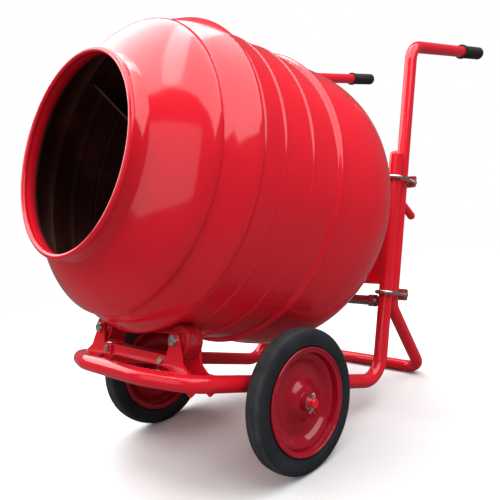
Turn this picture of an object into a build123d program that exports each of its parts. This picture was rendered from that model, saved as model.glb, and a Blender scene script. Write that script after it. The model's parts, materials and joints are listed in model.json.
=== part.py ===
from build123d import *
import os
from math import cos, pi, radians, sin, sqrt

# Hand-cranked concrete mixer on two wheels. Millimetres and degrees.
#
# Everything is drawn in the machine's own square frame: x across, y rearward along the rails, z square
# to the rails, with the origin on the wheel axle. The finished pieces are then pitched nose-up about
# the axle, as the mixer stands: wheels and the bar of the rear stand on the ground, and the origin on
# the ground under the axle. The drum's mouth faces -Y.

PITCH = 18.5                # how far the machine leans back on its stand

# wheels and axle
WHEEL_R = 150.0
WHEEL_X = 251.0             # middle plane of a wheel
RIM_FLOOR_R = 103.0
AXLE_R = 10.0
AXLE_END_X = 289.0
HUB_OUT = 22.0              # hub length outward and inward from the wheel's middle plane
HUB_IN = 25.0

# main frame tube
FRAME_TUBE_D = 34.0
FRAME_WALL = 2.3
RAIL_X = 202.0
RAIL_Z = 27.6
UPRIGHT_Y = 360.0
UPRIGHT_TOP = 613.0
FRONT_Y = -302.0

# handle and stand tube
HANDLE_TUBE_D = 31.8
HANDLE_WALL = 2.0
HANDLE_Y = UPRIGHT_Y + (FRAME_TUBE_D + HANDLE_TUBE_D) / 2
HANDLE_TOP = 925.0
HANDLE_RUN = 412.0
KINK_Z = 220.0
FOOT_X = 184.0
FOOT_GROUND_Y = 585.0       # where the stand's corner meets the ground, from the axle
GRIP_LENGTH = 122.0
GRIP_R = 18.6

# drum, measured along its axis from the mouth
AXIS_Z = 435.0
MOUTH_Y = -453.0
SHEET = 2.0
LIP_R = 200.5               # centre of the rolled lip
LIP_BEAD_R = 6.0
RIDGE_FRONT = 185.0
RIDGE_REAR = 406.0
BEADS = (253.0, 326.0)
TRACK_R = 328.5             # outer radius of the band that runs on the rollers
REAR_R = 336.0
FRONT_SEAM = 196.0
REAR_SEAM = 418.0
BACK = 733.0
BACK_R = 160.0

# rollers
ROLLER_R = 32.0
ROLLER_W = 38.0
ROLLER_GAP = 0.3
ROLLER_X = 134.0
ROLLER_S = 226.0            # along the drum, between the front ridge and the first bead
ROLLER_Z = AXIS_Z - sqrt((TRACK_R + ROLLER_GAP + ROLLER_R) ** 2 - ROLLER_X ** 2)
ROLLER_Y = MOUTH_Y + ROLLER_S
ROLLER_BOLT_R = 6.0
PLATE_T = 5.0
PLATE_OFFSET = ROLLER_W / 2 + 2.3

# rear cross plate, bearing and shaft
SHAFT_R = 12.5
CROSS_T = 5.0
CROSS_BOTTOM = 272.0
CROSS_TOP = 505.0
CROSS_Y = UPRIGHT_Y - 8.0   # front face
BEARING_SIDE = 95.0
BEARING_SPACING = 70.0
BEARING_BOLT_R = 5.0
BEARING_DEPTH = 34.0
FLANGE_R = 70.0
FLANGE_T = 8.0
FLANGE_PCD_R = 52.0
SHAFT_END_Y = 446.0
RUNNING = 0.05              # radial clearance of a running fit

MACHINE = Location((0, 0, WHEEL_R), (-PITCH, 0, 0))
SIDES = (("left", -1), ("right", 1))


# ---------------------------------------------------------------- helpers

def save(name, part):
    """Pitch a finished piece into its standing place and write it as its own node."""
    export_step(MACHINE * part, f"parts/{name}.step")


def tube(points, radii, outer_d, wall):
    """Round tube along straight runs joined by arcs."""
    path = FilletPolyline(*points, radius=radii)
    start = Plane(origin=path @ 0, z_dir=path % 0)
    section = start * (Circle(outer_d / 2) - Circle(outer_d / 2 - wall))
    return sweep(section, path=path)


def bar(points, radii, radius):
    """Solid round bar along straight runs joined by arcs."""
    path = FilletPolyline(*points, radius=radii)
    start = Plane(origin=path @ 0, z_dir=path % 0)
    return sweep(start * Circle(radius), path=path)


def rod(radius, start, end):
    """Cylinder from one point to another."""
    axis = Vector(*end) - Vector(*start)
    cylinder = Cylinder(radius, axis.length, align=(Align.CENTER, Align.CENTER, Align.MIN))
    return Plane(origin=start, z_dir=axis) * cylinder


def ring(outer_r, inner_r, start, end):
    """Plain ring or washer from one point to another."""
    axis = Vector(*end) - Vector(*start)
    face = Circle(outer_r) - Circle(inner_r)
    return Plane(origin=start, z_dir=axis) * extrude(face, axis.length)


def hexagon(across_flats, height, bore_r=0.0):
    """Hexagonal head or nut standing on z = 0, with its corners chamfered by a cone."""
    corner_r = across_flats / sqrt(3)
    prism = extrude(RegularPolygon(corner_r, 6), height)
    cone_r = corner_r + height * 1.4
    cone = Cone(cone_r, corner_r * 0.9, height, align=(Align.CENTER, Align.CENTER, Align.MIN))
    body = prism & cone
    if bore_r:
        body = body - Cylinder(bore_r, 3 * height)
    return body


def bolt(radius, length):
    """Hex bolt along z: head above z = 0, shank below it."""
    head = hexagon(3.2 * radius, 1.3 * radius)
    shank = Cylinder(radius, length, align=(Align.CENTER, Align.CENTER, Align.MAX))
    return head + shank


def group(parts):
    """Separate solids that share one node."""
    return Compound(children=list(parts))


def mirrored(part):
    return mirror(part, about=Plane.YZ)


def along_drum(face):
    """Turn an outline of radius (x) against distance from the mouth (y) about the drum's axis."""
    return Pos(0, MOUTH_Y, AXIS_Z) * revolve(face, Axis.Y, 360)


# ---------------------------------------------------------------- frame

def main_frame_route():
    """Corners of the main tube, from the right upright's top round to the left one's."""
    half = [
        (RAIL_X, UPRIGHT_Y, UPRIGHT_TOP),
        (RAIL_X, UPRIGHT_Y, RAIL_Z),
        (RAIL_X, FRONT_Y + 42, RAIL_Z),
        (RAIL_X - 105, FRONT_Y, RAIL_Z),
    ]
    return half + [(-x, y, z) for x, y, z in reversed(half)]


MAIN_FRAME_BENDS = [65, 62, 120, 120, 62, 65]


def main_frame_tube():
    """Upright, rail, bowed front cross tube, rail and upright in one bent tube."""
    return tube(main_frame_route(), MAIN_FRAME_BENDS, FRAME_TUBE_D, FRAME_WALL)


def upright_caps():
    """Domed plugs in the open tops of the uprights."""
    inner = FRAME_TUBE_D / 2 - FRAME_WALL
    caps = []
    for _, side in SIDES:
        x = side * RAIL_X
        cap = rod(FRAME_TUBE_D / 2, (x, UPRIGHT_Y, UPRIGHT_TOP), (x, UPRIGHT_Y, UPRIGHT_TOP + 11))
        cap = fillet(cap.edges().sort_by(Axis.Z)[-1], 10)
        cap += rod(inner - 0.05, (x, UPRIGHT_Y, UPRIGHT_TOP - 16), (x, UPRIGHT_Y, UPRIGHT_TOP))
        caps.append(cap)
    return group(caps)


def foot_corner():
    """Corner of the stand: the tube's centre where it lies on the level ground."""
    up = HANDLE_TUBE_D / 2 - WHEEL_R
    pitch = radians(PITCH)
    y = FOOT_GROUND_Y * cos(pitch) - up * sin(pitch)
    z = FOOT_GROUND_Y * sin(pitch) + up * cos(pitch)
    return (FOOT_X, y, z)


def handle_run_point(distance):
    """Point on the right handle's level run, measured rearward from its upper bend."""
    pitch = radians(PITCH)
    return (RAIL_X, HANDLE_Y + distance * cos(pitch), HANDLE_TOP + distance * sin(pitch))


def handle_stand_tube():
    """Grip run, leg, stand foot and crossbar, mirrored: one bent tube."""
    half = [
        handle_run_point(HANDLE_RUN),
        (RAIL_X, HANDLE_Y, HANDLE_TOP),
        (RAIL_X, HANDLE_Y, KINK_Z),
        foot_corner(),
    ]
    other = [(-x, y, z) for x, y, z in reversed(half)]
    return tube(half + other, [52, 42, 46, 46, 42, 52], HANDLE_TUBE_D, HANDLE_WALL)


def handle_grip():
    """Ribbed rubber sleeve with a closed, rounded end, on the right handle."""
    bore = HANDLE_TUBE_D / 2
    sleeve = Cylinder(GRIP_R, GRIP_LENGTH, align=(Align.CENTER, Align.CENTER, Align.MIN))
    sleeve = fillet(sleeve.edges().sort_by(Axis.Z)[-1], 5)
    collar = Cylinder(GRIP_R + 2.6, 7, align=(Align.CENTER, Align.CENTER, Align.MIN))
    sleeve += fillet(collar.edges().group_by(Axis.Z)[-1], 2)
    for index in range(9):
        groove = Torus(GRIP_R + 0.9, 2.2)
        sleeve -= Pos(0, 0, 20 + 10.5 * index) * groove
    sleeve -= Cylinder(bore, GRIP_LENGTH - 5, align=(Align.CENTER, Align.CENTER, Align.MIN))
    start = Vector(*handle_run_point(HANDLE_RUN - GRIP_LENGTH + 5))
    run = Vector(0, cos(radians(PITCH)), sin(radians(PITCH)))
    return Plane(origin=start, z_dir=run) * sleeve


UBOLT_R = 5.0
UBOLT_HALF = FRAME_TUBE_D / 2 + UBOLT_R + 0.2
UBOLT_HEIGHTS = (252.0, 552.0)
SADDLE_Y = HANDLE_Y + HANDLE_TUBE_D / 2
SADDLE_T = 4.0
UBOLT_NUT_H = 6.5


def u_bolt_places():
    return [(side * RAIL_X, z) for _, side in SIDES for z in UBOLT_HEIGHTS]


def u_bolts():
    """Round the front of each upright, with both legs running rearward past the handle tube."""
    leg_end = SADDLE_Y + SADDLE_T + UBOLT_NUT_H + 7
    bolts = []
    for x, z in u_bolt_places():
        bend = UPRIGHT_Y - UBOLT_HALF
        points = [
            (x - UBOLT_HALF, leg_end, z),
            (x - UBOLT_HALF, bend, z),
            (x + UBOLT_HALF, bend, z),
            (x + UBOLT_HALF, leg_end, z),
        ]
        bolts.append(bar(points, UBOLT_HALF - 0.05, UBOLT_R))
    return group(bolts)


def u_bolt_saddles():
    """Pressed plates behind the handle tube, one to each U-bolt."""
    plates = []
    for x, z in u_bolt_places():
        plate = Pos(x, SADDLE_Y + SADDLE_T / 2, z) * Box(66, SADDLE_T, 30)
        plate = fillet(plate.edges().filter_by(Axis.Y), 5)
        for side in (-1, 1):
            hole_x = x + side * UBOLT_HALF
            plate -= rod(UBOLT_R + 0.1, (hole_x, SADDLE_Y - 5, z), (hole_x, SADDLE_Y + 10, z))
        plates.append(plate)
    return group(plates)


def u_bolt_nuts():
    nuts = []
    for x, z in u_bolt_places():
        for side in (-1, 1):
            nut = hexagon(16, UBOLT_NUT_H, UBOLT_R + 0.02)
            place = Pos(x + side * UBOLT_HALF, SADDLE_Y + SADDLE_T, z) * Rot(-90, 0, 0)
            nuts.append(place * nut)
    return group(nuts)


# ---------------------------------------------------------------- wheels and axle

def axle():
    """Fixed cross axle with a drilled hole at each end for its split pin."""
    shaft = rod(AXLE_R, (-AXLE_END_X, 0, 0), (AXLE_END_X, 0, 0))
    shaft = chamfer(shaft.edges().filter_by(GeomType.CIRCLE), 1.5)
    for _, side in SIDES:
        x = side * PIN_X
        shaft -= rod(2.3, (x, 0, -20), (x, 0, 20))
    return shaft


AXLE_PLATE_T = 5.0
AXLE_PLATE_X = (RAIL_X - 12.5, RAIL_X + 12.5)
PIN_X = WHEEL_X + HUB_OUT + 8.5


def axle_bracket():
    """Two ears welded under the right rail, joined by a strap, with the axle through them."""
    ears = []
    for x in AXLE_PLATE_X:
        outline = Plane.YZ * Polygon((-34, 30), (-15, -10), (15, -10), (34, 30), align=None)
        ear = extrude(Pos(x - AXLE_PLATE_T / 2, 0, 0) * outline, AXLE_PLATE_T)
        ear += rod(18, (x - AXLE_PLATE_T / 2, 0, 0), (x + AXLE_PLATE_T / 2, 0, 0))
        ears.append(ear)
    strap = Pos(RAIL_X, 22, 6) * Box(AXLE_PLATE_X[1] - AXLE_PLATE_X[0], 14, 6)
    body = ears[0] + ears[1] + strap
    body -= rod(AXLE_R + RUNNING, (RAIL_X - 40, 0, 0), (RAIL_X + 40, 0, 0))
    body -= rod(FRAME_TUBE_D / 2, (RAIL_X, -60, RAIL_Z), (RAIL_X, 60, RAIL_Z))
    above = Pos(RAIL_X, 0, RAIL_Z + 20) * Box(60, 120, 40)
    return body - above


def axle_collars():
    """Fixed rings that keep the wheels off the rails, and the loose washers beside them."""
    inner = RAIL_X + FRAME_TUBE_D / 2 + 0.4
    hub_inner = WHEEL_X - HUB_IN
    parts = []
    for _, side in SIDES:
        parts.append(ring(15, AXLE_R, (side * inner, 0, 0), (side * (hub_inner - 3.2), 0, 0)))
        parts.append(ring(17, AXLE_R + RUNNING, (side * (hub_inner - 3.0), 0, 0), (side * (hub_inner - 0.4), 0, 0)))
    return group(parts)


def axle_end_washers():
    start = WHEEL_X + HUB_OUT + 0.4
    rings = []
    for _, side in SIDES:
        rings.append(ring(17, AXLE_R + RUNNING, (side * start, 0, 0), (side * (start + 3), 0, 0)))
    return group(rings)


def split_pins():
    """Split pins down through the axle ends: a loop on top and two splayed legs below."""
    pins = []
    for _, side in SIDES:
        x = side * PIN_X
        pin = rod(2.0, (x, 0, -13), (x, 0, 13))
        loop = Pos(x, 0, 16) * Rot(0, 90, 0) * Torus(3.6, 1.7)
        legs = bar([(x, -0.9, -12), (x, -2.5, -16), (x, -9, -20)], 3, 1.3)
        legs += bar([(x, 0.9, -12), (x, 2.5, -16), (x, 9, -20)], 3, 1.3)
        pins.append(pin + loop + legs)
    return group(pins)


def wheel_disc():
    """Pressed-steel wheel: channel rim with rolled edges, and a disc dished round the raised hub."""
    floor = RIM_FLOOR_R
    rim = revolve(Polygon(
        (-17.5, floor + 6), (-20, floor + 6), (-17.4, floor - 2.5), (17.4, floor - 2.5),
        (20, floor + 6), (17.5, floor + 6), (15.4, floor), (-15.4, floor), align=None), Axis.X, 360)
    for side in (-1, 1):
        rim += Pos(side * 19, 0, 0) * Rot(0, 90, 0) * Torus(floor + 6.4, 2.6)
    disc_points = [
        (5, floor - 1), (7, floor - 9), (3, floor - 17), (-5, floor - 25),
        (-6.5, floor - 40), (-4, 48), (4, 36), (10, 28), (11, 18.2),
    ]
    front = Spline(*disc_points)
    back = Spline(*[(a - 2.6, r) for a, r in disc_points])
    disc = make_face([front, Line(front @ 1, back @ 1), back, Line(back @ 0, front @ 0)])
    return rim + revolve(disc, Axis.X, 360)


def wheel_hub():
    """Steel hub tube through the disc, with a collar against the disc's raised middle."""
    outline = Polygon(
        (-HUB_IN, 13.1), (HUB_OUT, 13.1), (HUB_OUT, 17), (16, 18.2),
        (-HUB_IN + 2, 18.2), (-HUB_IN, 17), align=None)
    return revolve(outline, Axis.X, 360)


def wheel_bush():
    """Plain bush that runs on the axle."""
    face = Pos((HUB_OUT - HUB_IN) / 2, (13.1 + AXLE_R + RUNNING) / 2) * Rectangle(
        HUB_OUT + HUB_IN, 13.1 - AXLE_R - RUNNING)
    return revolve(face, Axis.X, 360)


def tyre():
    """Narrow solid tyre: stepped sidewalls, rounded shoulders and two ribbing grooves in the tread."""
    floor = RIM_FLOOR_R
    half = [(15.3, floor), (15.3, floor + 9.6), (18.5, floor + 12), (20.5, floor + 22), (20.8, floor + 30)]
    right = Polyline(*half)
    left = Polyline(*[(-a, r) for a, r in half])
    base = Line(left @ 0, right @ 0)
    shoulder = ThreePointArc((20.8, floor + 30), (19, floor + 39), (13, WHEEL_R - 1.2))
    opposite = ThreePointArc((-20.8, floor + 30), (-19, floor + 39), (-13, WHEEL_R - 1.2))
    crown = ThreePointArc((13, WHEEL_R - 1.2), (0, WHEEL_R), (-13, WHEEL_R - 1.2))
    body = make_face([base, right, shoulder, crown, opposite, left])
    for a in (-7, 7):
        body -= Pos(a, WHEEL_R) * Circle(1.8)
    for a in (-20.6, 20.6):
        body -= Pos(a, floor + 18) * Circle(1.2)
    return revolve(body, Axis.X, 360)


# ---------------------------------------------------------------- roller cradle

def bracket_outline():
    """Right roller plate seen from the front: an upright ear, a small wing inward, a hook under the rail."""
    foot = Polygon(
        (84, 48), (118, 46), (150, 34), (RAIL_X - 22, 12), (RAIL_X - 6, 3), (RAIL_X + 4, RAIL_Z - 16),
        (RAIL_X - 2, RAIL_Z), (RAIL_X - 6, RAIL_Z + 12), (178, 48), (162, 60),
        (ROLLER_X + 13, ROLLER_Z), (ROLLER_X - 13, ROLLER_Z), (113, 70), (84, 68), align=None)
    return foot + Pos(ROLLER_X, ROLLER_Z) * Circle(13)


def roller_plate(centre_y):
    """Upright plate of a roller bracket, cut to fit round the rail."""
    outline = Plane.XZ * bracket_outline()
    plate = Pos(0, centre_y + PLATE_T / 2, 0) * extrude(outline, PLATE_T, dir=(0, -1, 0))
    plate -= bar(main_frame_route(), MAIN_FRAME_BENDS, FRAME_TUBE_D / 2)
    for x, z, radius in ((ROLLER_X, ROLLER_Z, ROLLER_BOLT_R), (TIE_BOLT_X, TIE_Z, TIE_BOLT_R)):
        plate -= rod(radius + RUNNING, (x, centre_y - 20, z), (x, centre_y + 20, z))
    return plate


TIE_BOLT_X = 98.0
TIE_BOLT_R = 4.0
TIE_Z = 58.0
TIE_T = 4.0
FRONT_PLATE_Y = ROLLER_Y - PLATE_OFFSET - PLATE_T / 2
REAR_PLATE_Y = ROLLER_Y + PLATE_OFFSET + PLATE_T / 2


def roller_tie_angle():
    """Folded angle between the two brackets, bolted behind their front plates."""
    front = FRONT_PLATE_Y + PLATE_T / 2
    back = REAR_PLATE_Y - PLATE_T / 2
    length = 2 * TIE_BOLT_X + 24
    upright = Pos(0, front + TIE_T / 2, TIE_Z) * Box(length, TIE_T, 22)
    shelf = Pos(0, (front + back) / 2, TIE_Z + 9) * Box(length, back - front, TIE_T)
    rear_leg = Pos(0, back - TIE_T / 2, TIE_Z) * Box(length, TIE_T, 22)
    angle = upright + shelf + rear_leg
    for side in (-1, 1):
        x = side * TIE_BOLT_X
        angle -= rod(TIE_BOLT_R + RUNNING, (x, front - 5, TIE_Z), (x, back + 5, TIE_Z))
    return angle


def front_bolt(radius, x, z, length):
    """Hex bolt with its head against the front plates, pointing rearward."""
    face = FRONT_PLATE_Y - PLATE_T / 2
    return Pos(x, face, z) * Rot(90, 0, 0) * bolt(radius, length)


def rear_nut(radius, x, z):
    face = REAR_PLATE_Y + PLATE_T / 2
    return Pos(x, face, z) * Rot(-90, 0, 0) * hexagon(3.2 * radius, 1.6 * radius, radius)


def cradle_length(radius):
    return REAR_PLATE_Y - FRONT_PLATE_Y + PLATE_T + 2.4 * radius


def roller_axle_bolts():
    length = cradle_length(ROLLER_BOLT_R)
    return group(front_bolt(ROLLER_BOLT_R, side * ROLLER_X, ROLLER_Z, length) for _, side in SIDES)


def roller_axle_nuts():
    return group(rear_nut(ROLLER_BOLT_R, side * ROLLER_X, ROLLER_Z) for _, side in SIDES)


def roller_axle_washers():
    """Thin washers that keep each roller off its two plates."""
    rings = []
    for _, side in SIDES:
        for face, step in ((FRONT_PLATE_Y + PLATE_T / 2, 1), (REAR_PLATE_Y - PLATE_T / 2, -1)):
            start = (side * ROLLER_X, face, ROLLER_Z)
            end = (side * ROLLER_X, face + step * 1.8, ROLLER_Z)
            rings.append(ring(11, ROLLER_BOLT_R + RUNNING, start, end))
    return group(rings)


def tie_bolts():
    length = cradle_length(TIE_BOLT_R)
    return group(front_bolt(TIE_BOLT_R, side * TIE_BOLT_X, TIE_Z, length) for _, side in SIDES)


def tie_nuts():
    return group(rear_nut(TIE_BOLT_R, side * TIE_BOLT_X, TIE_Z) for _, side in SIDES)


def roller():
    """Steel roller with rounded edges and a shallow recess in each face, for the right side."""
    half = ROLLER_W / 2
    outline = Polygon(
        (9, -half), (15, -half), (17, -half + 2), (24, -half + 2), (26, -half), (ROLLER_R, -half),
        (ROLLER_R, half), (26, half), (24, half - 2), (17, half - 2), (15, half), (9, half), align=None)
    body = revolve(outline, Axis.Y, 360)
    rims = body.edges().filter_by(lambda e: e.geom_type == GeomType.CIRCLE and e.radius > ROLLER_R - 1)
    return Pos(ROLLER_X, ROLLER_Y, ROLLER_Z) * fillet(rims, 2)


def roller_bush():
    start = (ROLLER_X, ROLLER_Y - ROLLER_W / 2, ROLLER_Z)
    end = (ROLLER_X, ROLLER_Y + ROLLER_W / 2, ROLLER_Z)
    return ring(9, ROLLER_BOLT_R + RUNNING, start, end)


# ---------------------------------------------------------------- drum

def swell(s, centre, half_width, height):
    """Rounded ridge rolled into the sheet."""
    offset = abs(s - centre)
    return height * cos(pi * offset / (2 * half_width)) ** 2 if offset < half_width else 0.0


def barrel_radius(s):
    """Outer radius of the barrel: a level roller track, then a slight flare, with beads and rear ridge."""
    flare_start = BEADS[0]
    flare = max(0.0, s - flare_start) / (REAR_SEAM - flare_start)
    radius = TRACK_R + (REAR_R - TRACK_R) * sin(flare * pi / 2)
    radius += swell(s, RIDGE_REAR, 12.0, 8.0) - swell(s, FRONT_SEAM, 6.0, 3.0)
    for bead in BEADS:
        radius += swell(s, bead, 6.0, 2.4)
    return radius


def shell(points, drop=SHEET):
    """Closed outline of thin sheet whose outer face passes through the points (distance, radius)."""
    outer = Spline(*[(r, s) for s, r in points])
    inner = Spline(*[(r - drop, s) for s, r in points])
    return make_face([outer, Line(outer @ 1, inner @ 1), inner, Line(inner @ 0, outer @ 0)])


def drum_front_cone():
    """Rolled lip, short neck, rounded bowl, waist, and a band flaring to the bold front ridge."""
    neck = [(6, 199.5), (16, 197.5), (28, 200), (38, 207)]
    bowl = [(40, 210.5), (52, 234), (68, 260), (86, 283.5), (100, 297), (111, 303), (119, 303.5), (125, 300.5)]
    band = [(128, 302), (138, 309.5), (152, 318.5), (166, 326), (176, 331), (184, 333.5), (191, 332)]
    lip = Pos(0, MOUTH_Y + LIP_BEAD_R, AXIS_Z) * Rot(90, 0, 0) * Torus(LIP_R, LIP_BEAD_R)
    cone = lip + along_drum(shell(neck))
    cone += along_drum(shell(neck[-1:] + bowl))
    return cone + along_drum(shell(bowl[-1:] + band + [(FRONT_SEAM, TRACK_R - 3)]))


def drum_barrel():
    """Rolled barrel with the roller track, two beads and the bold front and rear ridges."""
    steps = 74
    length = REAR_SEAM - FRONT_SEAM
    stations = [FRONT_SEAM + length * i / steps for i in range(steps + 1)]
    return along_drum(shell([(s, barrel_radius(s)) for s in stations]))


def dish_curve(inset):
    """Profile of the dish: swelling a little behind the seam, then rounding in to the flat back."""
    swollen = REAR_R + 8 - inset
    places = [
        (REAR_R - inset, REAR_SEAM), (swollen - 3, REAR_SEAM + 50), (swollen, REAR_SEAM + 105),
        (swollen - 11, REAR_SEAM + 170), (swollen - 48, REAR_SEAM + 232 - inset / 2),
        (BACK_R + 72 - inset / 2, BACK - 27 - inset),
    ]
    return Spline(*places, (BACK_R, BACK - inset), tangents=[(0.12, 1), (-1, 0)])


def drum_rear_dish():
    """Rounded rear dish with a flat back, drilled for the flange bolts."""
    outer = dish_curve(0)
    inner = dish_curve(SHEET)
    back_outer = Line((BACK_R, BACK), (SHAFT_R + 6, BACK))
    back_inner = Line((BACK_R, BACK - SHEET), (SHAFT_R + 6, BACK - SHEET))
    seam = Line(outer @ 0, inner @ 0)
    bore = Line(back_outer @ 1, back_inner @ 1)
    dish = along_drum(make_face([seam, outer, back_outer, bore, back_inner, inner]))
    return dish - flange_bolt_shanks(BEARING_BOLT_R + RUNNING)


BACK_PLATE_T = 4.0
BACK_PLATE_R = 128.0
FLANGE_BOLTS = 6


def flange_bolt_points():
    """Six places round the shaft, square to the drum's axis."""
    angles = [2 * pi * i / FLANGE_BOLTS for i in range(FLANGE_BOLTS)]
    return [(FLANGE_PCD_R * sin(a), AXIS_Z + FLANGE_PCD_R * cos(a)) for a in angles]


def flange_bolt_shanks(radius):
    start = MOUTH_Y + BACK - 30
    end = MOUTH_Y + BACK + 40
    cutters = [rod(radius, (x, start, z), (x, end, z)) for x, z in flange_bolt_points()]
    return Part() + cutters


def drum_back_plate():
    """Round stiffening plate behind the dish."""
    start = MOUTH_Y + BACK
    plate = ring(BACK_PLATE_R, SHAFT_R + 6, (0, start, AXIS_Z), (0, start + BACK_PLATE_T, AXIS_Z))
    return plate - flange_bolt_shanks(BEARING_BOLT_R + RUNNING)


def drum_shaft():
    """Stub shaft with its welded flange and four gussets."""
    face = MOUTH_Y + BACK + BACK_PLATE_T
    flange = rod(FLANGE_R, (0, face, AXIS_Z), (0, face + FLANGE_T, AXIS_Z))
    shaft = rod(SHAFT_R, (0, face, AXIS_Z), (0, SHAFT_END_Y, AXIS_Z))
    shaft = chamfer(shaft.edges().sort_by(Axis.Y)[-1], 1.2)
    hub = rod(20, (0, face, AXIS_Z), (0, face + FLANGE_T + 34, AXIS_Z))
    body = flange + hub + shaft
    gusset = Plane.YZ * Polygon((0, 0), (30, 0), (0, 20), align=None)
    for quarter in range(4):
        web = extrude(gusset, 2.5, both=True)
        turn = Pos(0, face + FLANGE_T, AXIS_Z) * Rot(0, 45 + 90 * quarter, 0)
        body += turn * Pos(0, 0, 19) * web
    return body - flange_bolt_shanks(BEARING_BOLT_R + RUNNING) - crank_pin_hole(CRANK_PIN_R)


def flange_bolts():
    """Heads inside the drum, shanks rearward through dish, back plate and flange."""
    inside = MOUTH_Y + BACK - SHEET
    length = SHEET + BACK_PLATE_T + FLANGE_T + 13
    bolts = []
    for x, z in flange_bolt_points():
        bolts.append(Pos(x, inside, z) * Rot(90, 0, 0) * bolt(BEARING_BOLT_R, length))
    return group(bolts)


def flange_nuts():
    face = MOUTH_Y + BACK + BACK_PLATE_T + FLANGE_T
    nut = hexagon(16, 8, BEARING_BOLT_R)
    return group(Pos(x, face, z) * Rot(-90, 0, 0) * nut for x, z in flange_bolt_points())


BLADE_T = 3.0
BLADE_DEPTH = 82.0


def mixing_blade(turn):
    """Flat paddle set askew along the drum, its outer edge rolled to the barrel's inside."""
    inside = [
        (RIDGE_FRONT - 48, 300), (FRONT_SEAM, TRACK_R - SHEET - 6), (250, TRACK_R - SHEET - 0.4),
        (REAR_SEAM, REAR_R - SHEET - 12), (500, REAR_R - 22),
    ]
    outline = [(r, s) for s, r in inside]
    outline += [(REAR_R - 30 - BLADE_DEPTH * 0.7, 500), (REAR_R - 12 - BLADE_DEPTH, REAR_SEAM - 20)]
    outline += [(TRACK_R - BLADE_DEPTH, 235), (300 - BLADE_DEPTH * 0.55, RIDGE_FRONT - 48)]
    band = revolve(Polygon(*outline, align=None), Axis.Y, 360)
    slab = Pos(0, 325, 290) * Rot(0, 0, 24) * Box(BLADE_T, 460, 220)
    blade = band & slab
    return Pos(0, MOUTH_Y, AXIS_Z) * Rot(0, turn, 0) * blade


# ---------------------------------------------------------------- rear bearing

BEARING_Y = CROSS_Y + CROSS_T


def bearing_bolt_points():
    half = BEARING_SPACING / 2
    return [(x, AXIS_Z + z) for x in (-half, half) for z in (-half, half)]


def rear_cross_plate():
    """Folded channel between the uprights that carries the drum's rear bearing."""
    half = RAIL_X - FRAME_TUBE_D / 2 + 4
    height = CROSS_TOP - CROSS_BOTTOM
    middle = (CROSS_TOP + CROSS_BOTTOM) / 2
    web = Pos(0, CROSS_Y + CROSS_T / 2, middle) * Box(2 * half, CROSS_T, height)
    for z in (CROSS_BOTTOM + CROSS_T / 2, CROSS_TOP - CROSS_T / 2):
        web += Pos(0, CROSS_Y - 11, z) * Box(2 * half, 22 + CROSS_T, CROSS_T)
    web = fillet(web.edges().filter_by(Axis.X).group_by(Axis.Y)[-1], 4)
    for side in (-1, 1):
        x = side * RAIL_X
        web -= rod(FRAME_TUBE_D / 2, (x, UPRIGHT_Y, CROSS_BOTTOM - 20), (x, UPRIGHT_Y, CROSS_TOP + 20))
    web -= rod(30, (0, CROSS_Y - 40, AXIS_Z), (0, CROSS_Y + 40, AXIS_Z))
    for x, z in bearing_bolt_points():
        web -= rod(BEARING_BOLT_R + RUNNING, (x, CROSS_Y - 40, z), (x, CROSS_Y + 40, z))
    return web


def bearing_housing():
    """Square cast flange with a round boss, on the rear face of the cross plate."""
    flange = Pos(0, BEARING_Y + 7, AXIS_Z) * Box(BEARING_SIDE, 14, BEARING_SIDE)
    flange = fillet(flange.edges().filter_by(Axis.Y), 14)
    boss = rod(37, (0, BEARING_Y, AXIS_Z), (0, BEARING_Y + BEARING_DEPTH - 4, AXIS_Z))
    boss = fillet(boss.edges().sort_by(Axis.Y)[-1], 3)
    body = flange + boss - rod(26, (0, BEARING_Y - 20, AXIS_Z), (0, BEARING_Y + 60, AXIS_Z))
    for x, z in bearing_bolt_points():
        body -= rod(BEARING_BOLT_R + RUNNING, (x, BEARING_Y - 40, z), (x, BEARING_Y + 40, z))
    nipple_seat = AXIS_Z + 36
    return body - rod(3, (0, BEARING_Y + 20, AXIS_Z + 28), (0, BEARING_Y + 20, nipple_seat + 5))


def grease_nipple():
    y = BEARING_Y + 20
    body = rod(3, (0, y, AXIS_Z + 29), (0, y, AXIS_Z + 37.5))
    body += Pos(0, y, AXIS_Z + 37.5) * hexagon(7, 3.5)
    body += rod(2, (0, y, AXIS_Z + 41), (0, y, AXIS_Z + 45))
    return body + Pos(0, y, AXIS_Z + 46) * Sphere(2.9)


RACE_Y = BEARING_Y + 16
RACE_HALF = 8.5


def bearing_outer_ring():
    start = (0, RACE_Y - RACE_HALF, AXIS_Z)
    end = (0, RACE_Y + RACE_HALF, AXIS_Z)
    outer = ring(26, 22.2, start, end)
    for face, step in ((RACE_Y - RACE_HALF, 1.2), (RACE_Y + RACE_HALF, -1.2)):
        outer += ring(23, 16.8, (0, face, AXIS_Z), (0, face + step, AXIS_Z))
    return outer


def bearing_ball_set():
    """Nine balls in their cage."""
    pitch_r = 19.3
    cage = ring(20, 18.6, (0, RACE_Y - 4, AXIS_Z), (0, RACE_Y + 4, AXIS_Z))
    for index in range(9):
        angle = 2 * pi * index / 9
        cage += Pos(pitch_r * sin(angle), RACE_Y, AXIS_Z + pitch_r * cos(angle)) * Sphere(2.6)
    return cage


def bearing_inner_ring():
    """Inner ring, wider than the outer one on the crank side, with two grub screw holes."""
    inner = ring(16.4, SHAFT_R, (0, RACE_Y - RACE_HALF, AXIS_Z), (0, RACE_Y + RACE_HALF + 10, AXIS_Z))
    y = RACE_Y + RACE_HALF + 5
    for angle in (0, 120):
        inner -= Pos(0, y, AXIS_Z) * Rot(0, angle, 0) * rod(2.5, (0, 0, 11), (0, 0, 20))
    return inner


def grub_screws():
    y = RACE_Y + RACE_HALF + 5
    screws = [
        Pos(0, y, AXIS_Z) * Rot(0, angle, 0) * rod(2.45, (0, 0, SHAFT_R + 0.05), (0, 0, 16.6))
        for angle in (0, 120)
    ]
    return group(screws)


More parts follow.
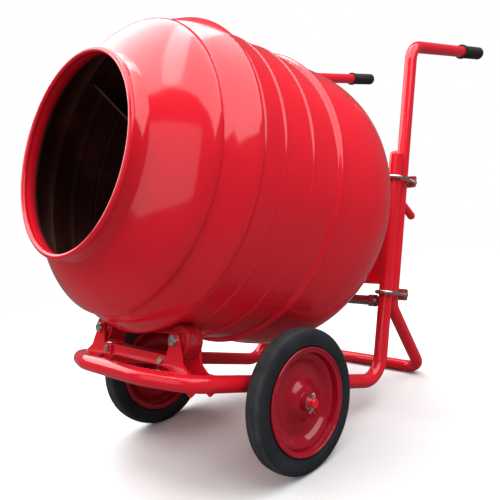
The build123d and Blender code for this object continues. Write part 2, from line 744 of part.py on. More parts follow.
def bearing_bolts():
    length = CROSS_T + 14 + 13
    place = Rot(90, 0, 0)
    return group(Pos(x, CROSS_Y, z) * place * bolt(BEARING_BOLT_R, length) for x, z in bearing_bolt_points())


def bearing_nuts():
    nut = hexagon(16, 8, BEARING_BOLT_R)
    return group(Pos(x, BEARING_Y + 14, z) * Rot(-90, 0, 0) * nut for x, z in bearing_bolt_points())


def rear_tie_bar():
    """Plated round bar between the uprights, below the cross plate."""
    half = RAIL_X - FRAME_TUBE_D / 2 - 0.2
    y = UPRIGHT_Y - 2
    z = UBOLT_HEIGHTS[0] - 23
    core = rod(12.5, (-half + 8, y, z), (half - 8, y, z))
    for side in (-1, 1):
        core += rod(9, (side * (half - 9), y, z), (side * half, y, z))
        core += rod(15.5, (side * (half - 26), y, z), (side * (half - 8), y, z))
    return core


# ---------------------------------------------------------------- crank

CRANK_Y = SHAFT_END_Y - 17
CRANK_BOSS_R = 20.0
CRANK_BAR_R = 11.0
CRANK_PIN_R = 4.0
CRANK_ELBOW = (128.0, CRANK_Y + 8, AXIS_Z + 128.0)
CRANK_TIP = (152.0, CRANK_Y + 112, AXIS_Z + 52.0)


def crank_boss():
    """Boss on the shaft's end, cross-drilled for its pin."""
    boss = rod(CRANK_BOSS_R, (0, CRANK_Y - 17, AXIS_Z), (0, CRANK_Y + 13, AXIS_Z))
    boss = chamfer(boss.edges(), 1.5)
    boss -= rod(SHAFT_R, (0, CRANK_Y - 40, AXIS_Z), (0, SHAFT_END_Y + 20, AXIS_Z))
    return boss - crank_pin_hole(CRANK_PIN_R)


def crank_pin_hole(radius):
    return rod(radius, (-40, CRANK_Y - 9, AXIS_Z), (40, CRANK_Y - 9, AXIS_Z))


def crank_pin():
    """Pin through boss and shaft."""
    return rod(CRANK_PIN_R, (-23, CRANK_Y - 9, AXIS_Z), (23, CRANK_Y - 9, AXIS_Z))


def crank_handle():
    """Round bar bent into arm and grip, with a rounded end."""
    root = (CRANK_BOSS_R * 0.6, CRANK_Y + 3, AXIS_Z + CRANK_BOSS_R * 0.6)
    arm = bar([root, CRANK_ELBOW, CRANK_TIP], 26, CRANK_BAR_R)
    arm += Pos(*CRANK_TIP) * Sphere(CRANK_BAR_R)
    arm -= rod(CRANK_BOSS_R, (0, CRANK_Y - 30, AXIS_Z), (0, CRANK_Y + 40, AXIS_Z))
    return arm


# ---------------------------------------------------------------- write every node

os.makedirs("parts", exist_ok=True)

save("main_frame_tube", main_frame_tube())
save("upright_caps", upright_caps())
save("handle_stand_tube", handle_stand_tube())
save("u_bolts", u_bolts())
save("u_bolt_saddles", u_bolt_saddles())
save("u_bolt_nuts", u_bolt_nuts())

save("axle", axle())
save("axle_collars", axle_collars())
save("axle_end_washers", axle_end_washers())
save("split_pins", split_pins())

save("roller_tie_angle", roller_tie_angle())
save("roller_axle_bolts", roller_axle_bolts())
save("roller_axle_nuts", roller_axle_nuts())
save("roller_axle_washers", roller_axle_washers())
save("tie_bolts", tie_bolts())
save("tie_nuts", tie_nuts())

right_pieces = {
    "grip": handle_grip(),
    "axle_bracket": axle_bracket(),
    "front_roller_plate": roller_plate(FRONT_PLATE_Y),
    "rear_roller_plate": roller_plate(REAR_PLATE_Y),
    "roller": roller(),
    "roller_bush": roller_bush(),
    "wheel_disc": Pos(WHEEL_X, 0, 0) * wheel_disc(),
    "wheel_hub": Pos(WHEEL_X, 0, 0) * wheel_hub(),
    "wheel_bush": Pos(WHEEL_X, 0, 0) * wheel_bush(),
    "tyre": Pos(WHEEL_X, 0, 0) * tyre(),
}
for name, piece in right_pieces.items():
    save(f"{name}_right", piece)
    save(f"{name}_left", mirrored(piece))

save("drum_front_cone", drum_front_cone())
save("drum_barrel", drum_barrel())
save("drum_rear_dish", drum_rear_dish())
save("drum_back_plate", drum_back_plate())
save("drum_shaft", drum_shaft())
save("flange_bolts", flange_bolts())
save("flange_nuts", flange_nuts())
for number, turn in enumerate((62, 182, 302), start=1):
    save(f"mixing_blade_{number}", mixing_blade(turn))

save("rear_cross_plate", rear_cross_plate())
save("bearing_housing", bearing_housing())
save("grease_nipple", grease_nipple())
save("bearing_outer_ring", bearing_outer_ring())
save("bearing_ball_set", bearing_ball_set())
save("bearing_inner_ring", bearing_inner_ring())
save("grub_screws", grub_screws())
save("bearing_bolts", bearing_bolts())
save("bearing_nuts", bearing_nuts())
save("rear_tie_bar", rear_tie_bar())
save("crank_boss", crank_boss())
save("crank_pin", crank_pin())
save("crank_handle", crank_handle())
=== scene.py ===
import json
from math import cos, pi, radians, sin

import bpy
from mathutils import Matrix, Vector


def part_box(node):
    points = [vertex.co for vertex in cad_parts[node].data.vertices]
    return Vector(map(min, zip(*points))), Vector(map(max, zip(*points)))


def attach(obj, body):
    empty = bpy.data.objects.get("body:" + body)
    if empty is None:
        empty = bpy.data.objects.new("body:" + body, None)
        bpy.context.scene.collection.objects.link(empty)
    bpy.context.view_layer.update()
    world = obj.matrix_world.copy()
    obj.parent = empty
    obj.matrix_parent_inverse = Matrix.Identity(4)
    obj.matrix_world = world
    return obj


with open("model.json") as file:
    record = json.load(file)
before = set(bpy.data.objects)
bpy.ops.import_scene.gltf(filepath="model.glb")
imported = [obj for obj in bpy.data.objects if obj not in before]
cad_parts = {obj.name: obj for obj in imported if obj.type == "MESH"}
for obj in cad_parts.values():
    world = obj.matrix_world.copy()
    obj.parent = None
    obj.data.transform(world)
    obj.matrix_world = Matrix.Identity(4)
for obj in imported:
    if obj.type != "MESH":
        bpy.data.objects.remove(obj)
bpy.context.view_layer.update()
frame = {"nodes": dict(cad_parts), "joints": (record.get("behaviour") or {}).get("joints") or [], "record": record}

# Looks of the hand-cranked concrete mixer: enamel, rubber, plated steel, weld beads and screw threads,
# on a pale floor under soft light. Metres, in the model's own frame.

NODES = frame["nodes"]
JOINTS = {joint["name"]: joint for joint in frame["joints"]}

# The machine stands pitched nose-up: REAR runs along its rails and the drum's axis, UP square to them.
REAR = Vector(JOINTS["drum_spin"]["axis"]).normalized()
ACROSS = Vector((1, 0, 0))
UP = ACROSS.cross(REAR)
DRUM_POINT = Vector(JOINTS["drum_spin"]["pos_m"])
AXLE_POINT = Vector((0, 0, JOINTS["left_wheel_spin"]["pos_m"][2]))

# The mouth's plane touches the drum's furthest forward point, measured along the drum's axis.
CONE = NODES["drum_front_cone"].data.vertices
MOUTH = DRUM_POINT + REAR * min((vertex.co - DRUM_POINT).dot(REAR) for vertex in CONE)

# The camera's place, its yaw, dip and roll in degrees, its lens in millimetres, and its sideways shift.
CAMERA_PLACE = (1.0357, -0.8616, 0.6261)
CAMERA_YAW = 46.51
CAMERA_DOWN = 7.40
CAMERA_ROLL = 7.45
CAMERA_LENS = 42.58
CAMERA_SHIFT = 0.02
SURROUND = (1.0, 0.22, 0.13)     # the surround as seen, as light on the machine, and in its gloss


def machine(x, y, z):
    """World place of a point given across, along and square to the rails from the axle."""
    return AXLE_POINT + ACROSS * x + REAR * y + UP * z


# ---------------------------------------------------------------- node graphs

class Graph:
    """One material's nodes, with short ways to add the few kinds used here."""

    def __init__(self, name, **constants):
        self.material = bpy.data.materials.new(name)
        self.material.use_nodes = True
        self.tree = self.material.node_tree
        self.tree.nodes.clear()
        output = self.tree.nodes.new("ShaderNodeOutputMaterial")
        self.shader = self.tree.nodes.new("ShaderNodeBsdfPrincipled")
        self.tree.links.new(self.shader.outputs[0], output.inputs[0])
        self.place = self.tree.nodes.new("ShaderNodeTexCoord")
        for label, value in constants.items():
            self.shader.inputs[label.replace("_", " ")].default_value = value

    def put(self, socket, value):
        if isinstance(value, bpy.types.NodeSocket):
            self.tree.links.new(value, socket)
        else:
            socket.default_value = value

    def set(self, label, value):
        self.put(self.shader.inputs[label], value)

    def math(self, operation, a, b=0.0, c=0.0):
        node = self.tree.nodes.new("ShaderNodeMath")
        node.operation = operation
        for socket, value in zip(node.inputs, (a, b, c)):
            self.put(socket, value)
        return node.outputs[0]

    def vector(self, operation, a, b=(0, 0, 0)):
        node = self.tree.nodes.new("ShaderNodeVectorMath")
        node.operation = operation
        self.put(node.inputs[0], a)
        self.put(node.inputs[1], b)
        return node.outputs["Value" if operation in ("DOT_PRODUCT", "LENGTH") else "Vector"]

    def noise(self, scale, detail=3.0, stretch=(1, 1, 1), rough=0.5):
        mapping = self.tree.nodes.new("ShaderNodeMapping")
        mapping.inputs["Scale"].default_value = stretch
        self.tree.links.new(self.place.outputs["Object"], mapping.inputs["Vector"])
        node = self.tree.nodes.new("ShaderNodeTexNoise")
        self.tree.links.new(mapping.outputs[0], node.inputs["Vector"])
        node.inputs["Scale"].default_value = scale
        node.inputs["Detail"].default_value = detail
        node.inputs["Roughness"].default_value = rough
        return node.outputs["Fac"]

    def band(self, value, low, high, to_low=0.0, to_high=1.0):
        """Smooth step of a value between two limits."""
        node = self.tree.nodes.new("ShaderNodeMapRange")
        node.interpolation_type = "SMOOTHSTEP"
        limits = {"From Min": low, "From Max": high, "To Min": to_low, "To Max": to_high}
        for label, number in limits.items():
            node.inputs[label].default_value = number
        self.put(node.inputs["Value"], value)
        return node.outputs["Result"]

    def mix(self, factor, a, b):
        node = self.tree.nodes.new("ShaderNodeMix")
        node.data_type = "RGBA"
        self.put(node.inputs["Factor"], factor)
        for socket, value in ((node.inputs[6], a), (node.inputs[7], b)):
            self.put(socket, value if isinstance(value, bpy.types.NodeSocket) else (*value, 1.0))
        return node.outputs[2]

    def bump(self, height, distance, strength=1.0):
        node = self.tree.nodes.new("ShaderNodeBump")
        node.inputs["Strength"].default_value = strength
        node.inputs["Distance"].default_value = distance
        self.put(node.inputs["Height"], height)
        self.set("Normal", node.outputs[0])

    def radius_about(self, point, axis):
        """Distance of the surface from a line through a point."""
        offset = self.vector("SUBTRACT", self.place.outputs["Object"], tuple(point))
        return self.vector("LENGTH", self.vector("CROSS_PRODUCT", offset, tuple(axis)))

    def along(self, point, axis):
        """Distance of the surface along a line from a point."""
        offset = self.vector("SUBTRACT", self.place.outputs["Object"], tuple(point))
        return self.vector("DOT_PRODUCT", offset, tuple(axis))


# ---------------------------------------------------------------- materials

RED = (0.82, 0.012, 0.028)
RED_DEEP = (0.50, 0.005, 0.015)
# Darker copies of the red enamel for the wheels: painted shade, for discs that face away from the light.
WHEEL_SHADED_RED = (0.40, 0.005, 0.020)
WHEEL_SHADED_RED_DEEP = (0.24, 0.004, 0.014)
CEMENT = (0.30, 0.27, 0.24)

NECK_END = 0.030            # the inside keeps the bright enamel as far as the neck, measured from the mouth; past it, painted shade
SEAMS_END = 0.60            # beyond the last seam between the drum's sheets

# The rolled barrel's profile, from the mouth: where its flare starts, how long it is and how far it
# rises, then each swell's centre, half width and height. The front seam is a groove.
FLARE_START = 0.253
FLARE_LENGTH = 0.165
FLARE_RISE = 0.0075
SWELLS = ((0.196, 0.006, -0.003), (0.253, 0.006, 0.0024), (0.326, 0.006, 0.0024), (0.406, 0.012, 0.008))


def enamel(name, dust=0.06, red=RED, deep=RED_DEEP):
    """Sprayed gloss enamel: faint colour drift, orange peel, fine scuffs and a little site dust."""
    graph = Graph(name, Coat_Weight=0.6, Coat_Roughness=0.10, Specular_IOR_Level=0.2)
    drift = graph.band(graph.noise(5.0), 0.3, 0.7)
    colour = graph.mix(graph.math("MULTIPLY", drift, 0.22), red, deep)
    grime = graph.band(graph.noise(26.0, 6.0, rough=0.65), 0.62, 0.84)
    colour = graph.mix(graph.math("MULTIPLY", grime, dust), colour, CEMENT)
    graph.set("Base Color", colour)
    scuffs = graph.band(graph.noise(60.0, 5.0, (1, 0.15, 1)), 0.50, 0.75, 0.14, 0.24)
    graph.set("Roughness", scuffs)
    graph.bump(graph.math("ADD", graph.noise(260.0, 2.0), graph.noise(5.0, 1.0)), 0.0001, 0.15)
    return graph


def drum_enamel(name):
    """Enamel outside; past the neck, the inside is painted dark as shade in the drum's hollow, mottled with smears
    of cement.
    """
    graph = enamel(name, dust=0.04)
    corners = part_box("drum_barrel")
    centre = DRUM_POINT + REAR * (sum((corners[i] - DRUM_POINT).dot(REAR) for i in (0, 1)) / 2)
    offset = graph.vector("SUBTRACT", graph.place.outputs["Object"], tuple(centre))
    facing = graph.vector("DOT_PRODUCT", offset, graph.place.outputs["Normal"])
    depth = graph.along(MOUTH, REAR)
    past_neck = graph.math("GREATER_THAN", depth, NECK_END)
    turned_in = graph.math("LESS_THAN", facing, 0.0)
    lengthwise = graph.vector("DOT_PRODUCT", graph.place.outputs["Normal"], tuple(REAR))
    endwise = graph.math("ABSOLUTE", lengthwise)
    sheet_edge = graph.math("GREATER_THAN", endwise, 0.97)
    sheet_edge = graph.math("MULTIPLY", sheet_edge, graph.math("LESS_THAN", depth, SEAMS_END))
    # Painted shade: the inside past the neck, and the sheets' inner end faces, take a dark mottled colour instead
    # of the enamel.
    inside = graph.math("MULTIPLY", graph.math("MAXIMUM", turned_in, sheet_edge), past_neck)
    smear = graph.band(graph.noise(7.0, 7.0, rough=0.62), 0.42, 0.72)
    shaded_inside = graph.mix(smear, (0.10, 0.034, 0.027), (0.17, 0.070, 0.056))
    outside = graph.shader.inputs["Base Color"].links[0].from_socket
    graph.set("Base Color", graph.mix(inside, outside, shaded_inside))
    gloss = graph.shader.inputs["Roughness"].links[0].from_socket
    graph.set("Roughness", graph.math("ADD", gloss, graph.math("MULTIPLY", inside, 0.4)))
    graph.set("Coat Weight", graph.math("MULTIPLY", graph.math("SUBTRACT", 1.0, inside), 0.55))
    return graph


def barrel_slope(graph, along):
    """How fast the barrel widens at a distance from the mouth: its flare, and each swell's two sides."""
    flare = graph.math("MULTIPLY", graph.math("SUBTRACT", along, FLARE_START), pi / 2 / FLARE_LENGTH)
    slope = graph.math("MULTIPLY", graph.math("COSINE", flare), FLARE_RISE * pi / 2 / FLARE_LENGTH)
    slope = graph.math("MULTIPLY", slope, graph.band(along, FLARE_START - 0.003, FLARE_START + 0.003))
    for centre, half_width, height in SWELLS:
        offset = graph.math("DIVIDE", graph.math("SUBTRACT", along, centre), half_width)
        offset = graph.math("MAXIMUM", graph.math("MINIMUM", offset, 1.0), -1.0)
        wave = graph.math("SINE", graph.math("MULTIPLY", offset, pi))
        slope = graph.math("MULTIPLY_ADD", wave, -height * pi / (2 * half_width), slope)
    return slope


def barrel_enamel():
    """Drum enamel whose gloss follows the rolled profile itself, evenly along its beads and ridge."""
    graph = drum_enamel("barrel_paint_look")
    slope = barrel_slope(graph, graph.along(MOUTH, REAR))
    offset = graph.vector("SUBTRACT", graph.place.outputs["Object"], tuple(DRUM_POINT))
    axial = graph.vector("DOT_PRODUCT", offset, tuple(REAR))
    outward = graph.vector("SUBTRACT", offset, graph.vector("MULTIPLY", tuple(REAR), axial))
    tilted = graph.vector("MULTIPLY", tuple(REAR), slope)
    even = graph.vector("SUBTRACT", graph.vector("NORMALIZE", outward), tilted)
    side = graph.math("SIGN", graph.vector("DOT_PRODUCT", outward, graph.place.outputs["Normal"]))
    even = graph.vector("NORMALIZE", graph.vector("MULTIPLY", even, side))
    to_world = graph.tree.nodes.new("ShaderNodeVectorTransform")
    to_world.vector_type = "NORMAL"
    to_world.convert_from = "OBJECT"
    to_world.convert_to = "WORLD"
    graph.put(to_world.inputs[0], even)
    bump = graph.shader.inputs["Normal"].links[0].from_node
    graph.put(bump.inputs["Normal"], to_world.outputs[0])
    graph.set("Coat Normal", to_world.outputs[0])
    return graph


def plated(name, colour, rough=(0.24, 0.42)):
    """Bright plated steel with cloudy passivation and fine handling marks."""
    graph = Graph(name, Metallic=1.0)
    cloud = graph.band(graph.noise(30.0, 3.0), 0.35, 0.7)
    warm = tuple(c * f for c, f in zip(colour, (0.97, 0.93, 0.84)))
    graph.set("Base Color", graph.mix(graph.math("MULTIPLY", cloud, 0.5), colour, warm))
    graph.set("Roughness", graph.band(graph.noise(120.0, 3.0), 0.35, 0.7, *rough))
    graph.bump(graph.noise(500.0, 2.0), 0.00004, 0.3)
    return graph


def roller_look():
    """Red enamel on the rollers, darkened all over as painted shade under the drum, and rubbed to bare grey along
    the middle of the face that the drum runs on.
    """
    graph = enamel("roller_look", dust=0.25)
    centre = Vector(JOINTS["left_roller_spin"]["pos_m"])
    off_middle = graph.math("ABSOLUTE", graph.along(centre, REAR))
    rim = graph.band(off_middle, 0.009, 0.016, 1.0, 0.0)
    rubbed = graph.math("MULTIPLY", rim, graph.band(graph.noise(38.0, 6.0, rough=0.65), 0.52, 0.72))
    paint = graph.shader.inputs["Base Color"].links[0].from_socket
    # Painted shade: the whole roller takes a darker copy of the enamel.
    shaded_roller_paint = graph.mix(0.45, paint, (0.16, 0.004, 0.006))
    graph.set("Base Color", graph.mix(graph.math("MULTIPLY", rubbed, 0.5), shaded_roller_paint, (0.20, 0.15, 0.14)))
    return graph


def tyre_look(name, hub):
    """Dark rubber, smooth on the sidewall, dusty and worn pale on the tread."""
    graph = Graph(name, Specular_IOR_Level=0.45)
    radius = graph.radius_about(hub, ACROSS)
    tread = graph.band(radius, 0.1425, 0.1485)
    patches = graph.band(graph.noise(22.0, 6.0, rough=0.65), 0.3, 0.62, 0.25, 1.0)
    dusty = graph.math("MULTIPLY", tread, patches)
    cloud = graph.band(graph.noise(9.0, 4.0), 0.35, 0.7)
    wall = graph.mix(cloud, (0.010, 0.013, 0.017), (0.020, 0.025, 0.031))
    graph.set("Base Color", graph.mix(graph.math("MULTIPLY", dusty, 0.4), wall, (0.10, 0.098, 0.095)))
    graph.set("Roughness", graph.band(radius, 0.12, 0.148, 0.42, 0.86))
    grain = graph.math("MULTIPLY", graph.noise(480.0, 3.0), graph.band(radius, 0.13, 0.148, 0.25, 1.0))
    graph.bump(grain, 0.0004, 0.6)
    return graph


def rubber(name):
    """Moulded black grip rubber with a fine grain and a little shine where hands polish it."""
    graph = Graph(name, Specular_IOR_Level=0.4)
    graph.set("Base Color", graph.mix(graph.noise(30.0, 5.0), (0.006, 0.006, 0.007), (0.018, 0.018, 0.019)))
    graph.set("Roughness", graph.band(graph.noise(18.0, 4.0), 0.35, 0.65, 0.42, 0.62))
    graph.bump(graph.noise(900.0, 2.0), 0.00015, 0.6)
    return graph


def moulded_plastic():
    graph = Graph("black_plastic_look")
    graph.set("Base Color", graph.mix(graph.noise(40.0), (0.012, 0.012, 0.013), (0.022, 0.022, 0.023)))
    graph.set("Roughness", graph.band(graph.noise(70.0), 0.3, 0.7, 0.34, 0.5))
    graph.bump(graph.noise(700.0, 2.0), 0.00008, 0.5)
    return graph


def casting():
    """Painted sand casting: coarse grain under grey paint."""
    graph = Graph("casting_look")
    worn = graph.band(graph.noise(60.0, 6.0), 0.56, 0.7)
    graph.set("Base Color", graph.mix(worn, (0.10, 0.105, 0.11), (0.20, 0.17, 0.15)))
    graph.set("Roughness", graph.band(graph.noise(80.0, 4.0), 0.3, 0.7, 0.45, 0.62))
    graph.bump(graph.noise(330.0, 4.0), 0.0005, 0.6)
    return graph


def blade_look():
    """Mixing blades: brown steel, scrubbed by the mix, under a patchy cement film."""
    graph = Graph("blade_look", Specular_IOR_Level=0.4)
    film = graph.band(graph.noise(16.0, 7.0, rough=0.65), 0.35, 0.7)
    graph.set("Base Color", graph.mix(film, (0.46, 0.19, 0.15), (0.62, 0.32, 0.26)))
    graph.set("Roughness", graph.band(graph.noise(30.0, 5.0), 0.3, 0.7, 0.5, 0.8))
    graph.bump(graph.noise(140.0, 5.0), 0.0004, 0.6)
    return graph


def hub_point(side):
    return Vector(JOINTS[f"{side}_wheel_spin"]["pos_m"])


def dress_nodes():
    """Give every CAD node the look of its material slot."""
    looks = {
        "frame_paint": enamel("frame_paint_look"),
        "drum_paint": drum_enamel("drum_paint_look"),
        # The wheels' enamel is darkened as painted shade.
        "wheel_paint": enamel("wheel_paint_look", 0.10, WHEEL_SHADED_RED, WHEEL_SHADED_RED_DEEP),
        "blade_steel": blade_look(),
        "roller_paint": roller_look(),
        "zinc": plated("zinc_look", (0.64, 0.63, 0.60)),
        "cast_grey": casting(),
        "bearing_steel": plated("bearing_look", (0.68, 0.68, 0.69), (0.14, 0.24)),
        "bronze": plated("bronze_look", (0.55, 0.36, 0.16), (0.3, 0.5)),
        "grip_rubber": rubber("grip_look"),
        "black_plastic": moulded_plastic(),
    }
    own = {f"tyre_{side}": tyre_look(f"tyre_look_{side}", hub_point(side)) for side in ("left", "right")}
    own["drum_barrel"] = barrel_enamel()
    for part in frame["record"]["subparts"]:
        node = part["node"]
        look = own.get(node) or looks[part["material_slot"]]
        data = NODES[node].data
        data.materials.clear()
        data.materials.append(look.material)
    return looks


# ---------------------------------------------------------------- weld beads and screw threads

RAIL_X = 0.202
RAIL_Z = 0.0276
TUBE_R = 0.0172             # outside of the frame tube, with the bead's own bite
BEND_START_Y = -0.218       # where the rails begin to turn in towards the front
BEND_R = 0.062
FRONT_PLATE_FACES = (-0.2533, -0.2483)
REAR_PLATE_FACES = (-0.2057, -0.2007)
CROSS_PLATE_SEAMS = ((0.1866, 0.3515), (0.1852, 0.3577))    # where its two faces meet an upright
CROSS_PLATE_ENDS = (0.277, 0.500)                           # bottom and top of those seams
AXLE_EAR_OFFSET = 0.0152                                    # outer faces of the axle bracket's ears
AXLE_SEAM_HALF = 0.027
AXLE_SEAM_Z = 0.0195
UBOLT_HEIGHTS = (0.252, 0.552)
UBOLT_HALF = 0.0222
UBOLT_NUT_Y = 0.4198
CRADLE_NUT_YS = (-0.1908, -0.1940)                          # behind the roller bolts' and tie bolts' nuts
TIE_BOLT = (0.098, 0.058)
HUB_SEAM_OUT = 0.0108       # outward from the wheel's middle plane
HUB_SEAM_R = 0.0186
SIDES = (("left", -1), ("right", 1))


def mesh_piece(name, vertices, faces, look, body):
    """A smooth-shaded piece of the machine that rides on one body."""
    mesh = bpy.data.meshes.new(name)
    mesh.from_pydata([tuple(v) for v in vertices], [], faces)
    mesh.shade_smooth()
    mesh.materials.append(look.material)
    piece = bpy.data.objects.new(name, mesh)
    bpy.context.scene.collection.objects.link(piece)
    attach(piece, body)
    return piece


def resampled(points, spacing):
    """Points at an even spacing along a chain of straight runs."""
    out = [points[0]]
    left = spacing
    for start, end in zip(points, points[1:]):
        length = (end - start).length
        at = left
        while at <= length:
            out.append(start.lerp(end, at / length))
            at += spacing
        left = at - length
    return out


def bead_rings(points, radius, phase):
    """Rings of a weld bead: overlapping ripples that taper off at both ends."""
    path = resampled(points, radius * 0.3)
    rings = []
    for index, place in enumerate(path):
        ahead = path[min(index + 1, len(path) - 1)] - path[max(index - 1, 0)]
        ahead.normalize()
        side = ahead.orthogonal().normalized()
        lift = ahead.cross(side)
        ripple = 1 + 0.13 * abs(sin(index * 0.75 + phase)) + 0.05 * sin(index * 0.31 + 2.0 * phase)
        taper = min(1.0, 0.35 + 0.3 * min(index, len(path) - 1 - index))
        size = radius * ripple * taper
        rings.append([place + (side * cos(pi * k / 4) + lift * sin(pi * k / 4)) * size for k in range(8)])
    return rings


def weld(name, runs, radius, body, look):
    """Weld beads along several runs of points, as one piece."""
    vertices, faces = [], []
    for number, run in enumerate(runs):
        rings = bead_rings(run, radius, number * 1.7)
        base = len(vertices)
        for ring in rings:
            vertices += ring
        for r in range(len(rings) - 1):
            for k in range(8):
                a, b = base + 8 * r + k, base + 8 * r + (k + 1) % 8
                faces.append((a, b, b + 8, a + 8))
        faces.append(tuple(base + k for k in reversed(range(8))))
        faces.append(tuple(len(vertices) - 8 + k for k in range(8)))
    return mesh_piece(name, vertices, faces, look, body)


def rail_surface(y, turn):
    """Point on the right rail's surface where a plane square to the machine cuts it."""
    across, up = TUBE_R * cos(turn), TUBE_R * sin(turn)
    past = y - BEND_START_Y
    if past > 0:
        return RAIL_X + across, RAIL_Z + up
    centre = RAIL_X - BEND_R
    return centre + ((BEND_R + across) ** 2 - past ** 2) ** 0.5, RAIL_Z + up


def plate_runs(faces, side):
    """Runs round the inner half of a rail, on both faces of a roller plate."""
    runs = []
    for y in faces:
        turns = [radians(112 + 6 * step) for step in range(28)]
        places = [rail_surface(y, turn) for turn in turns]
        runs.append([machine(side * x, y, z) for x, z in places])
    return runs


def add_frame_welds(look):
    runs = []
    for _, side in SIDES:
        for faces in (FRONT_PLATE_FACES, REAR_PLATE_FACES):
            runs += plate_runs(faces, side)
        for x, y in CROSS_PLATE_SEAMS:
            runs.append([machine(side * x, y, z) for z in CROSS_PLATE_ENDS])
        for x in (RAIL_X - AXLE_EAR_OFFSET, RAIL_X + AXLE_EAR_OFFSET):
            runs.append([machine(side * x, y, AXLE_SEAM_Z) for y in (-AXLE_SEAM_HALF, AXLE_SEAM_HALF)])
    weld("frame_welds", runs, 0.0021, "frame", look)


def add_wheel_welds(look):
    """A ring of weld where each hub tube meets its disc."""
    level, upright = Vector((0, 1, 0)), Vector((0, 0, 1))
    for name, side in SIDES:
        centre = hub_point(name) + ACROSS * side * HUB_SEAM_OUT
        turns = [2 * pi * step / 48 for step in range(49)]
        run = [centre + (level * cos(t) + upright * sin(t)) * HUB_SEAM_R for t in turns]
        weld(f"hub_weld_{name}", [run], 0.0016, f"{name}_wheel", look)


def thread_ridge(start, axis, radius, length, pitch):
    """Vertices and faces of one helical ridge round a plain shank."""
    side = axis.orthogonal().normalized()
    lift = axis.cross(side)
    steps = int(24 * length / pitch)
    vertices, faces = [], []
    for step in range(steps + 1):
        turn = 2 * pi * step / 24
        out = side * cos(turn) + lift * sin(turn)
        centre = start + axis * (pitch * (step / 24))
        for rise, shift in ((-0.0001, -0.42), (0.00032, 0.0), (-0.0001, 0.42)):
            vertices.append(centre + out * (radius + rise) + axis * shift * pitch)
    for step in range(steps):
        for k in range(2):
            a = 3 * step + k
            faces.append((a, a + 1, a + 4, a + 3))
    return vertices, faces


def add_threads(look):
    """Screw threads on the bolt ends that stand out of their nuts."""
    roller_point = Vector(JOINTS["right_roller_spin"]["pos_m"]) - AXLE_POINT
    roller_y, tie_y = CRADLE_NUT_YS
    tie_x, tie_z = TIE_BOLT
    ends = []               # each end's place, radius, threaded length and pitch
    for _, side in SIDES:
        for z in UBOLT_HEIGHTS:
            for offset in (-UBOLT_HALF, UBOLT_HALF):
                ends.append((side * RAIL_X + offset, UBOLT_NUT_Y, z, 0.005, 0.0060, 0.0015))
        ends.append((side * roller_point.x, roller_y, roller_point.dot(UP), 0.006, 0.0038, 0.00175))
        ends.append((side * tie_x, tie_y, tie_z, 0.004, 0.0022, 0.00125))
    vertices, faces = [], []
    for x, y, z, radius, length, pitch in ends:
        more, loops = thread_ridge(machine(x, y, z), REAR, radius, length, pitch)
        faces += [tuple(len(vertices) + corner for corner in loop) for loop in loops]
        vertices += more
    mesh_piece("bolt_threads", vertices, faces, look, "frame")


# ---------------------------------------------------------------- camera, light and floor

def add_camera():
    """Camera from its yaw about +Z, its dip below level and its roll about the view."""
    yaw, down, roll = radians(CAMERA_YAW), radians(CAMERA_DOWN), radians(CAMERA_ROLL)
    ahead = Vector((-sin(yaw) * cos(down), cos(yaw) * cos(down), -sin(down)))
    level = Vector((cos(yaw), sin(yaw), 0))
    below = ahead.cross(level)
    right = cos(roll) * level + sin(roll) * below
    lower = cos(roll) * below - sin(roll) * level
    data = bpy.data.cameras.new("camera")
    data.lens = CAMERA_LENS
    data.shift_x = CAMERA_SHIFT
    camera = bpy.data.objects.new("camera", data)
    turn = Matrix((right, -lower, -ahead)).transposed().to_4x4()
    camera.matrix_world = Matrix.Translation(CAMERA_PLACE) @ turn
    bpy.context.scene.collection.objects.link(camera)
    bpy.context.scene.camera = camera


def add_area_light(name, place, target, size, power):
    data = bpy.data.lights.new(name, "AREA")
    data.shape = "RECTANGLE"
    data.size, data.size_y = size
    data.energy = power
    light = bpy.data.objects.new(name, data)
    light.location = place
    light.rotation_euler = (Vector(target) - Vector(place)).to_track_quat("-Z", "Y").to_euler()
    bpy.context.scene.collection.objects.link(light)


def by_ray(tree, seen, soft, sharp):
    """A level as the camera sees it, as it lights the machine, and as the machine mirrors it."""
    rays = tree.nodes.new("ShaderNodeLightPath")
    total = 0.0
    for label, level in (("Is Camera Ray", seen), ("Is Diffuse Ray", soft), ("Is Glossy Ray", sharp)):
        node = tree.nodes.new("ShaderNodeMath")
        node.operation = "MULTIPLY_ADD"
        tree.links.new(rays.outputs[label], node.inputs[0])
        node.inputs[1].default_value = level
        if total:
            tree.links.new(total, node.inputs[2])
        else:
            node.inputs[2].default_value = 0.0
        total = node.outputs[0]
    return total


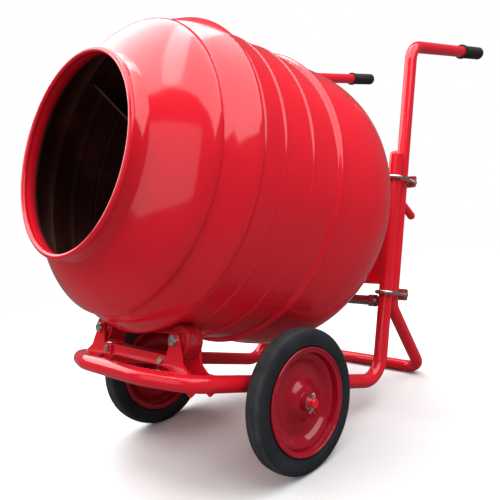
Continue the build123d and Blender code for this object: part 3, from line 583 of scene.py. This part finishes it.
def floor_look():
    """Pale matt floor round the machine that fades into the white surround further off."""
    graph = Graph("floor_look", Roughness=0.9, Specular_IOR_Level=0.1)
    tree = graph.tree
    graph.set("Base Color", by_ray(tree, 0.84, 0.34, 0.10))
    glow = tree.nodes.new("ShaderNodeEmission")
    tree.links.new(by_ray(tree, *SURROUND), glow.inputs["Strength"])
    distance = graph.vector("LENGTH", graph.vector("SUBTRACT", graph.place.outputs["Object"], (0, 0.35, 0)))
    blend = tree.nodes.new("ShaderNodeMixShader")
    tree.links.new(graph.band(distance, 0.7, 2.4), blend.inputs["Fac"])
    tree.links.new(graph.shader.outputs[0], blend.inputs[1])
    tree.links.new(glow.outputs[0], blend.inputs[2])
    output = [node for node in tree.nodes if node.type == "OUTPUT_MATERIAL"][0]
    tree.links.new(blend.outputs[0], output.inputs["Surface"])
    return graph.material


def add_studio():
    """Large soft lights, a white surround and a plain pale floor."""
    world = bpy.data.worlds.new("studio")
    world.use_nodes = True
    surround = world.node_tree.nodes["Background"]
    surround.inputs["Color"].default_value = (1, 1, 1, 1)
    world.node_tree.links.new(by_ray(world.node_tree, *SURROUND), surround.inputs["Strength"])
    bpy.context.scene.world = world
    bpy.context.scene.view_settings.view_transform = "Standard"
    aim = (0, 0.1, 0.5)
    add_area_light("key", (-1.5, -0.3, 2.5), aim, (3.4, 3.6), 135)
    add_area_light("overhead", (1.1, 0.4, 3.3), aim, (4.0, 4.8), 190)
    add_area_light("front", (0.7, -3.9, 2.2), aim, (4.2, 3.2), 44)

    mesh = bpy.data.meshes.new("floor")
    edge = 14.0
    corners = [(-edge, -edge, 0), (edge, -edge, 0), (edge, edge, 0), (-edge, edge, 0)]
    mesh.from_pydata(corners, [], [(0, 1, 2, 3)])
    floor = bpy.data.objects.new("floor", mesh)
    bpy.context.scene.collection.objects.link(floor)
    mesh.materials.append(floor_look())


LOOKS = dress_nodes()
add_frame_welds(LOOKS["frame_paint"])
add_wheel_welds(LOOKS["wheel_paint"])
add_threads(LOOKS["zinc"])
add_camera()
add_studio()
